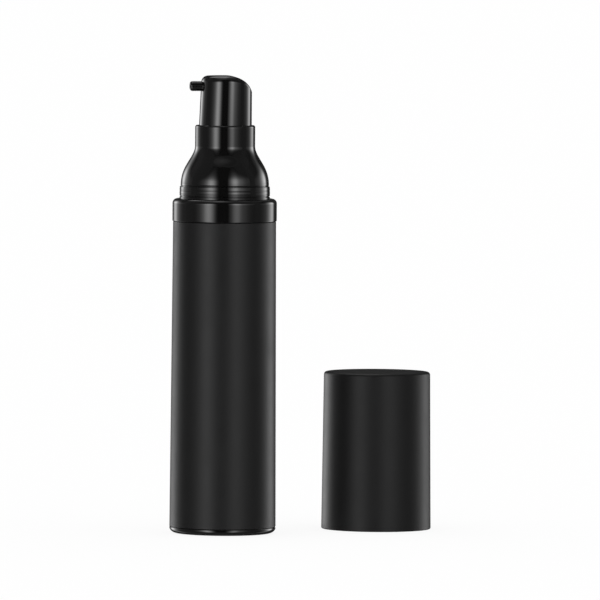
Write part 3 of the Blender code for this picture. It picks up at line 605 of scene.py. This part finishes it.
def make_actuator_shell():
    """The push head: leaning back a little, flat in front with a rounded edge, and falling to the rear."""
    low = foot("actuator_shell")
    head_top = top("actuator_shell")
    rim = HEAD_RADIUS - HEAD_DRAFT
    inside = HEAD_RADIUS - HEAD_WALL
    roof = Vector((0, 0, HEAD_ROOF))
    loops = [[Vector((0, 0, head_top))]]
    for row in range(1, HEAD_TOP_ROWS + 1):
        loops.append(head_ring(rim * math.sin(math.pi / 2 * row / (HEAD_TOP_ROWS + 1)), 0, 0))
    for step in range(HEAD_EDGE_ROWS + 1):
        angle = math.pi / 2 * step / HEAD_EDGE_ROWS
        loops.append(head_ring(rim, HEAD_EDGE_RADIUS * (1 - math.cos(angle)), math.sin(angle)))
    loops.append(ring(HEAD_RADIUS, low, SIDES))
    loops.append(ring(inside, low, SIDES))
    for row in reversed(range(1, HEAD_TOP_ROWS + 1)):
        share = math.sin(math.pi / 2 * row / HEAD_TOP_ROWS)
        loops.append([point - roof for point in head_ring((inside - HEAD_DRAFT) * share, 0, 1)])
    loops.append([Vector((0, 0, head_top)) - roof])
    lean = Matrix.Identity(4)
    lean[0][2] = HEAD_LEAN / (head_top - low)
    lean[0][3] = -lean[0][2] * low
    shell = skin("actuator_shell_fine", loops, gloss_black, HEAD_TURN @ lean)
    start = inside / 2
    sideways = HEAD_TURN @ Matrix.Translation((-start, 0, head_top - SPOUT_BELOW_TOP)) @ SPOUT_WAY
    opening = rod(SPOUT_RADIUS + SPOUT_OPENING_GAP, HEAD_RADIUS - start + SEAT_GAP, sideways, gloss_black)
    combined(shell, opening, "DIFFERENCE")
    placed(shell, "actuator_shell", "head")


def make_nozzle():
    """The hub on the stem with the spout's tube, and the rounded tip at the tube's end."""
    spout_height = top("actuator_shell") - SPOUT_BELOW_TOP
    low = foot("nozzle_core")
    high = top("nozzle_core")
    socket_radius = STEM_RADIUS + SPIGOT_GAP
    socket_top = low + HUB_SOCKET_DEPTH
    hub = socket_radius + HUB_WALL
    neck = hub - HUB_HEAD_INSET
    flange_top = HUB_FLANGE_FOOT + HUB_FLANGE_HEIGHT
    core = turned("nozzle_core_fine", [
        (0, high),
        (neck, high, HUB_TOP_ROUND),
        (neck, socket_top + 2 * HUB_TAPER_HEIGHT, SMALL_ROUND),
        (hub, socket_top + HUB_TAPER_HEIGHT, SMALL_ROUND),
        (hub, flange_top, SMALL_ROUND),
        (HUB_FLANGE_RADIUS, flange_top, SMALL_ROUND),
        (HUB_FLANGE_RADIUS, HUB_FLANGE_FOOT, SMALL_ROUND),
        (hub, HUB_FLANGE_FOOT, SMALL_ROUND),
        (hub, low, SMALL_ROUND),
        (0, low),
    ], gloss_black, SMALL_SIDES, HEAD_TURN)
    tube_length = SPOUT_REACH - TIP_LENGTH - VISIBLE_GAP
    sideways = HEAD_TURN @ Matrix.Translation((0, 0, spout_height)) @ SPOUT_WAY
    combined(core, rod(SPOUT_RADIUS, tube_length, sideways, gloss_black), "UNION")
    channel = rod(SPOUT_CHANNEL_RADIUS, tube_length + SEAT_GAP, sideways, gloss_black, CHANNEL_SIDES)
    combined(core, channel, "DIFFERENCE")
    socket_place = Matrix.Translation((0, 0, low - SEAT_GAP))
    socket = rod(socket_radius, HUB_SOCKET_DEPTH + SEAT_GAP, socket_place, gloss_black)
    combined(core, socket, "DIFFERENCE")
    riser_place = Matrix.Translation((0, 0, socket_top - SEAT_GAP))
    riser_length = spout_height - socket_top + SEAT_GAP
    riser = rod(STEM_BORE_RADIUS, riser_length, riser_place, gloss_black, CHANNEL_SIDES)
    combined(core, riser, "DIFFERENCE")
    placed(core, "nozzle_core", "head")

    spigot_radius = SPOUT_CHANNEL_RADIUS - SPIGOT_GAP
    spigot_foot = SPOUT_REACH - TIP_LENGTH - TIP_SPIGOT_LENGTH
    tip = turned("nozzle_tip_fine", [
        (TIP_ORIFICE_RADIUS, SPOUT_REACH, FINE_ROUND),
        (TIP_RADIUS, SPOUT_REACH, TIP_ROUND),
        (TIP_RADIUS, SPOUT_REACH - TIP_LENGTH),
        (spigot_radius, SPOUT_REACH - TIP_LENGTH, FINE_ROUND),
        (spigot_radius, spigot_foot, FINE_ROUND),
        (TIP_ORIFICE_RADIUS, spigot_foot),
    ], gloss_black, SMALL_SIDES, sideways)
    placed(tip, "nozzle_tip", "head")


def make_cap():
    """The matte overcap on its mouth, and its liner."""
    low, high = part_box("cap_shell")
    stand = Matrix.Translation(((low.x + high.x) / 2, (low.y + high.y) / 2, 0))
    outer = half_width("cap_shell")
    narrow = outer - CAP_DRAFT
    shell = turned("cap_shell_fine", [
        (0, high.z),
        (narrow, high.z, CAP_TOP_ROUND),
        (outer, 0, CAP_RIM_ROUND),
        (outer - CAP_WALL, 0, BODY_EDGE_ROUND),
        (narrow - CAP_WALL, high.z - CAP_TOP_WALL, CAP_INNER_ROUND),
        (0, high.z - CAP_TOP_WALL),
    ], cap_black, SIDES, stand)
    placed(shell, "cap_shell", "cap")

    liner_radius = half_width("cap_liner")
    liner_bore = liner_radius - LINER_WALL
    liner_foot = foot("cap_liner")
    liner_high = top("cap_liner")
    bead_foot = liner_foot + LINER_BEAD_RISE
    liner = turned("cap_liner_fine", [
        (0, liner_high),
        (liner_radius, liner_high, CAP_INNER_ROUND),
        (liner_radius, liner_foot, FINE_ROUND),
        (liner_bore, liner_foot, BODY_EDGE_ROUND),
        (liner_bore, bead_foot, SMALL_ROUND),
        (liner_bore - LINER_BEAD_DEPTH, bead_foot + LINER_BEAD_HEIGHT / 2, SMALL_ROUND),
        (liner_bore, bead_foot + LINER_BEAD_HEIGHT, SMALL_ROUND),
        (liner_bore, liner_high - LINER_WALL, CAP_INNER_ROUND),
        (0, liner_high - LINER_WALL),
    ], liner_black, SIDES, stand)
    placed(liner, "cap_liner", "cap")


def make_return_spring():
    """The round wire coil with closed ends."""
    low = foot("return_spring")
    height = top("return_spring") - low
    radius = half_width("return_spring") - SPRING_WIRE_RADIUS
    climb = height - 2 * SPRING_WIRE_RADIUS
    closed_share = SPRING_CLOSED_PITCH_SHARE * 2 * SPRING_WIRE_RADIUS / climb
    rows = SPRING_TURNS * SPRING_ROWS_PER_TURN
    centres = []
    for row in range(rows + 1):
        turns = SPRING_TURNS * row / rows
        ends = min(turns, 1) + max(turns - (SPRING_TURNS - 1), 0)
        middle = min(max((turns - 1) / (SPRING_TURNS - 2), 0), 1)
        rise = closed_share * ends + (1 - 2 * closed_share) * middle
        centres.append((math.tau * turns, low + SPRING_WIRE_RADIUS + climb * rise))
    loops = []
    for angle, level in centres:
        outward = Vector((math.cos(angle), math.sin(angle), 0))
        centre = outward * radius + Vector((0, 0, level))
        sides = [math.tau * index / WIRE_SIDES for index in range(WIRE_SIDES)]
        loops.append([
            centre + (outward * math.cos(side) + Vector((0, 0, math.sin(side)))) * SPRING_WIRE_RADIUS
            for side in sides
        ])
    for end in (0, -1):
        angle, level = centres[end]
        pole = [Vector((radius * math.cos(angle), radius * math.sin(angle), level))]
        loops.insert(0 if end == 0 else len(loops), pole)
    spring = skin("return_spring_fine", loops, spring_steel)
    placed(spring, "return_spring", "pump")
    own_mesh(spring)


def finish_carried_over():
    """Gives the CAD nodes that stay in view their procedural material."""
    for name, material in CARRIED_OVER.items():
        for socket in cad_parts[name].material_slots:
            socket.material = material


def glowing(name, strength_nodes):
    """A material that glows on the side away from the normals, with a strength that a function builds."""
    material = bpy.data.materials.new(name)
    material.use_nodes = True
    tree = material.node_tree
    tree.nodes.clear()
    output = tree.nodes.new("ShaderNodeOutputMaterial")
    emission = tree.nodes.new("ShaderNodeEmission")
    strength_nodes(tree, emission.inputs["Strength"])
    clear = tree.nodes.new("ShaderNodeBsdfTransparent")
    side = tree.nodes.new("ShaderNodeNewGeometry")
    mix = tree.nodes.new("ShaderNodeMixShader")
    tree.links.new(side.outputs["Backfacing"], mix.inputs["Fac"])
    tree.links.new(clear.outputs["BSDF"], mix.inputs[1])
    tree.links.new(emission.outputs["Emission"], mix.inputs[2])
    tree.links.new(mix.outputs["Shader"], output.inputs["Surface"])
    return material


def only_reflected(obj):
    """Shows a studio piece in reflections alone."""
    obj.visible_camera = False
    obj.visible_diffuse = False
    obj.visible_shadow = False
    obj.visible_transmission = False


def on_sphere(distance):
    """A card's place by azimuth and elevation, in degrees."""
    def place(azimuth, rise):
        turn = math.radians(azimuth)
        lift = math.radians(rise)
        level = Vector((math.sin(turn), -math.cos(turn), 0)) * math.cos(lift)
        return (level + Vector((0, 0, math.sin(lift)))) * distance
    return place


def on_cylinder(radius, middle=Vector((0, 0, 0))):
    """A card's place by azimuth in degrees and height in metres."""
    def place(azimuth, height):
        turn = math.radians(azimuth)
        return middle + Vector((radius * math.sin(turn), -radius * math.cos(turn), height))
    return place


def levels(tree, coordinate, stops):
    """A value that follows stops of (angle, level), along a coordinate from the first to the last."""
    first = stops[0][0]
    last = stops[-1][0]
    peak = max(1, max(level for _, level in stops))
    ramp = tree.nodes.new("ShaderNodeValToRGB")
    elements = ramp.color_ramp.elements
    for angle, _ in stops[1:-1]:
        elements.new((angle - first) / (last - first))
    for element, (_, level) in zip(elements, stops):
        element.color = (level / peak, level / peak, level / peak, 1)
    tree.links.new(coordinate, ramp.inputs["Fac"])
    scale = tree.nodes.new("ShaderNodeMath")
    scale.operation = "MULTIPLY"
    scale.inputs[1].default_value = peak
    tree.links.new(ramp.outputs["Color"], scale.inputs[0])
    return scale.outputs["Value"]


def joined(tree, operation, first, second):
    """The result of a math node over two values."""
    node = tree.nodes.new("ShaderNodeMath")
    node.operation = operation
    tree.links.new(first, node.inputs[0])
    tree.links.new(second, node.inputs[1])
    return node.outputs["Value"]


def curved_card(name, across, upward, base=((-1, 0), (1, 0)), place=on_sphere(CARD_DISTANCE)):
    """A card round the bottle, which glows inwards.

    Its radiance is the product of two profiles, but no less than its base. The first and the base are stops
    of (azimuth from the camera's side, radiance), and the second is stops of (elevation or height, share).
    """
    first, last = across[0][0], across[-1][0]
    low, high = upward[0][0], upward[-1][0]
    columns = math.ceil((last - first) / CARD_STEP)
    rows = math.ceil((high - low) / CARD_STEP)
    shape = bmesh.new()
    layer = shape.loops.layers.uv.new("card")
    grid = []
    for row in range(rows + 1):
        rise = low + (high - low) * row / rows
        azimuths = [first + (last - first) * column / columns for column in range(columns + 1)]
        grid.append([shape.verts.new(place(azimuth, rise)) for azimuth in azimuths])
    for row in range(rows):
        for column in range(columns):
            corners = ((column, row), (column + 1, row), (column + 1, row + 1), (column, row + 1))
            face = shape.faces.new([grid[y][x] for x, y in corners])
            for loop, (x, y) in zip(face.loops, corners):
                loop[layer].uv = (x / columns, y / rows)
    mesh = bpy.data.meshes.new(name)
    shape.to_mesh(mesh)
    shape.free()

    def strength(tree, socket):
        spot = tree.nodes.new("ShaderNodeUVMap")
        spot.uv_map = "card"
        split = tree.nodes.new("ShaderNodeSeparateXYZ")
        tree.links.new(spot.outputs["UV"], split.inputs["Vector"])
        share = levels(tree, split.outputs["Y"], upward)
        product = joined(tree, "MULTIPLY", levels(tree, split.outputs["X"], across), share)
        raised = joined(tree, "MAXIMUM", product, levels(tree, split.outputs["X"], base))
        tree.links.new(raised, socket)

    mesh.materials.append(glowing(name, strength))
    card = bpy.data.objects.new(name, mesh)
    bpy.context.scene.collection.objects.link(card)
    only_reflected(card)


def plain_glow(radiance):
    """A strength that is the same all over."""
    def strength(tree, socket):
        socket.default_value = radiance
    return strength


def make_floor():
    """The pale floor, which glows to white for the camera and keeps a shadow."""
    size = FLOOR_SIZE
    corners = [(-size, -size), (size, -size), (size, size), (-size, size)]
    mesh = bpy.data.meshes.new("floor")
    mesh.from_pydata([(x, y, -FLOOR_DROP) for x, y in corners], [], [(0, 1, 2, 3)])
    floor = bpy.data.objects.new("floor", mesh)
    bpy.context.scene.collection.objects.link(floor)
    floor.visible_glossy = False
    floor.visible_shadow = False
    material = bpy.data.materials.new("pale_floor")
    material.use_nodes = True
    tree = material.node_tree
    tree.nodes.clear()
    output = tree.nodes.new("ShaderNodeOutputMaterial")
    seen = tree.nodes.new("ShaderNodeAddShader")
    glow = tree.nodes.new("ShaderNodeEmission")
    glow.inputs["Strength"].default_value = FLOOR_GLOW
    shade = tree.nodes.new("ShaderNodeBsdfDiffuse")
    shade.inputs["Color"].default_value = (FLOOR_SHADE, FLOOR_SHADE, FLOOR_SHADE, 1)
    tree.links.new(glow.outputs[0], seen.inputs[0])
    tree.links.new(shade.outputs[0], seen.inputs[1])
    bounce = tree.nodes.new("ShaderNodeBsdfDiffuse")
    bounce.inputs["Color"].default_value = (FLOOR_COLOUR, FLOOR_COLOUR, FLOOR_COLOUR, 1)
    mix = tree.nodes.new("ShaderNodeMixShader")
    path = tree.nodes.new("ShaderNodeLightPath")
    tree.links.new(path.outputs["Is Camera Ray"], mix.inputs["Fac"])
    tree.links.new(bounce.outputs[0], mix.inputs[1])
    tree.links.new(seen.outputs[0], mix.inputs[2])
    tree.links.new(mix.outputs[0], output.inputs["Surface"])
    material.cycles.emission_sampling = "NONE"
    mesh.materials.append(material)


def make_surround():
    """The dark sphere that the plastics reflect where there is no card."""
    shape = bmesh.new()
    bmesh.ops.create_icosphere(shape, subdivisions=4, radius=SURROUND_RADIUS)
    dark = bpy.data.meshes.new("dark_surround")
    shape.to_mesh(dark)
    shape.free()
    dark.materials.append(glowing("dark_surround", plain_glow(SURROUND_RADIANCE)))
    surround = bpy.data.objects.new("dark_surround", dark)
    bpy.context.scene.collection.objects.link(surround)
    only_reflected(surround)


def make_cards():
    """The cards that the plastics reflect, and the two strips between the bottle and the cap."""
    curved_card("left_softbox", LEFT_SOFTBOX, LEFT_RISE, LEFT_BASE)
    curved_card("right_softbox", RIGHT_SOFTBOX, RIGHT_RISE, RIGHT_BASE)
    curved_card("middle_flag", MIDDLE_FLAG, MIDDLE_FLAG_RISE)
    curved_card("left_rim_panel", LEFT_RIM_PANEL, RIM_PANEL_RISE, LEFT_RIM_BASE)
    curved_card("right_rim_panel", RIGHT_RIM_PANEL, RIM_PANEL_RISE, RIGHT_RIM_BASE)
    curved_card("back_flag", BACK_FLAG, BACK_FLAG_RISE)
    curved_card("top_panel", TOP_PANEL, TOP_PANEL_RISE)
    curved_card("overhead", OVERHEAD, OVERHEAD_RISE, place=on_sphere(OVERHEAD_DISTANCE))
    gap_rise = [(0, 1), (GAP_CARD_TOP, 1)]
    curved_card("gap_card", GAP_CARD, gap_rise, place=on_cylinder(GAP_CARD_RADIUS))
    low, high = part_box("cap_shell")
    cap_axis = Vector(((low.x + high.x) / 2, (low.y + high.y) / 2, 0))
    curved_card("cap_gap_card", CAP_GAP_CARD, gap_rise, place=on_cylinder(GAP_CARD_RADIUS, cap_axis))


def make_world():
    """White where the camera looks past the floor, and an even fill for diffuse light."""
    world = bpy.data.worlds.new("studio")
    bpy.context.scene.world = world
    world.use_nodes = True
    world.cycles.sampling_method = "NONE"
    tree = world.node_tree
    background = tree.nodes["Background"]
    background.inputs["Color"].default_value = (1, 1, 1, 1)
    background.inputs["Strength"].default_value = 1


def make_camera():
    """A long lens at the photograph's viewing angle, which is tilted a little."""
    data = bpy.data.cameras.new("camera")
    data.sensor_width = SENSOR_WIDTH
    data.lens = LENS
    camera = bpy.data.objects.new("camera", data)
    bpy.context.scene.collection.objects.link(camera)
    back = Vector((0, -math.cos(CAMERA_ELEVATION), math.sin(CAMERA_ELEVATION)))
    place = Matrix.Translation(AIM + back * CAMERA_DISTANCE)
    tilt = Matrix.Rotation(math.pi / 2 - CAMERA_ELEVATION, 4, "X")
    camera.matrix_world = place @ tilt @ Matrix.Rotation(CAMERA_ROLL, 4, "Z")
    bpy.context.scene.camera = camera


make_base_plug()
make_bottle_body()
make_collar_ring()
make_shoulder()
make_actuator_shell()
make_nozzle()
make_cap()
make_return_spring()
finish_carried_over()
make_floor()
make_surround()
make_cards()
make_world()
make_camera()
bpy.context.scene.view_settings.view_transform = "Standard"
